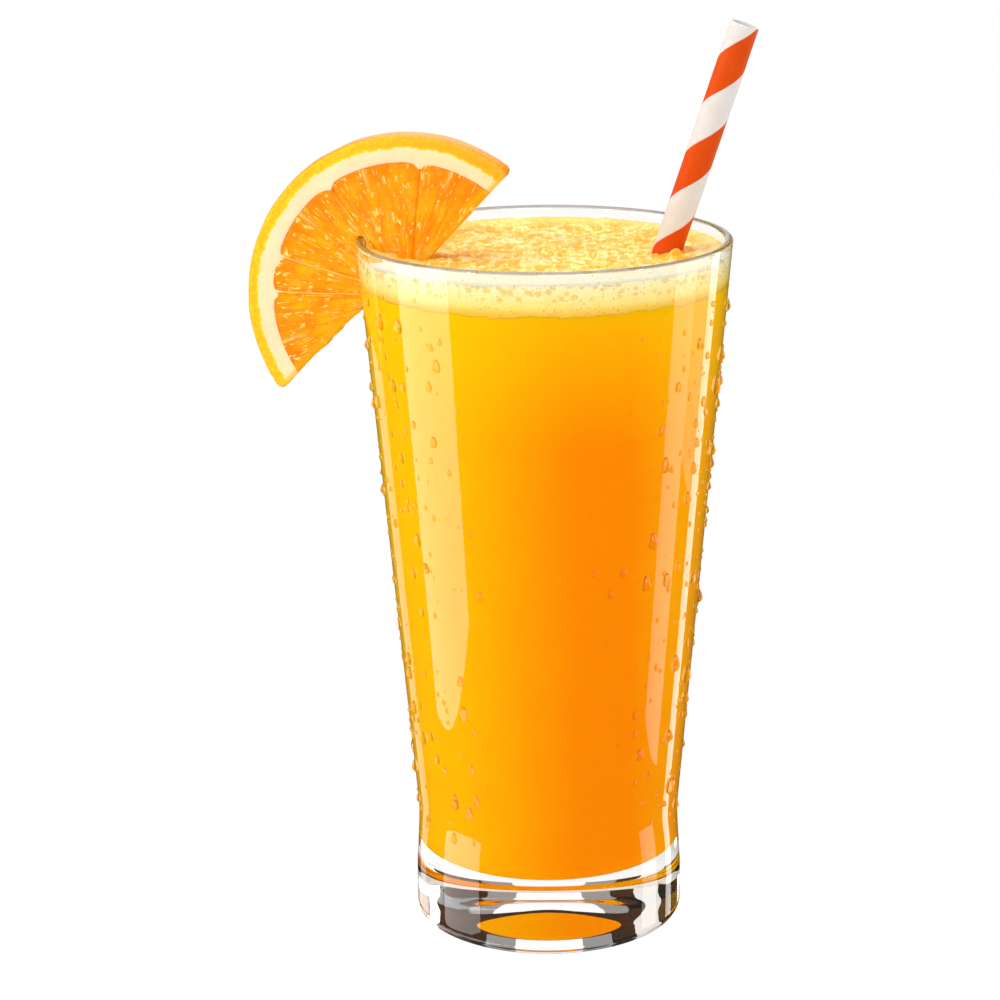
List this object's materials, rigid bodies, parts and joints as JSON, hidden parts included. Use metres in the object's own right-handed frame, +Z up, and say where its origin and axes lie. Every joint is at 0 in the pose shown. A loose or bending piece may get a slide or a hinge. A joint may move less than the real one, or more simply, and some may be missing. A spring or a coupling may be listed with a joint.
{
  "type": "glass of orange juice",
  "caption": "Tall tapered glass tumbler of orange juice with a foam layer, a striped paper straw and a half slice of orange on the rim.",
  "frame": {"origin": "on the tumbler's axis, in the plane of the foot ring that it stands on", "axes": "+Z up along the tumbler's axis; -Y is the front; the orange slice is at -X and the straw leans to +X"},
  "size_m": [0.1142, 0.0838, 0.2075],
  "materials": {
    "glass": "clear, fire-polished, with condensation",
    "juice": "cloudy liquid with fine pulp",
    "foam": "fine wet bubbles",
    "straw_paper": "wound paper, orange and white spiral stripes",
    "orange_peel": "pitted oily zest over a cream pith",
    "orange_flesh": "wet juice cells"
  },
  "bodies": {
    "root": {"glass": "glass", "juice": "juice", "foam": "foam", "straw": "straw_paper", "slice_peel": "orange_peel", "slice_segment_1": "orange_flesh", "slice_segment_2": "orange_flesh", "slice_segment_3": "orange_flesh", "slice_segment_3_tip": "orange_flesh", "slice_segment_4": "orange_flesh", "slice_segment_4_tip": "orange_flesh", "slice_segment_5": "orange_flesh", "slice_segment_5_tip": "orange_flesh"}
  },
  "joints": []
}
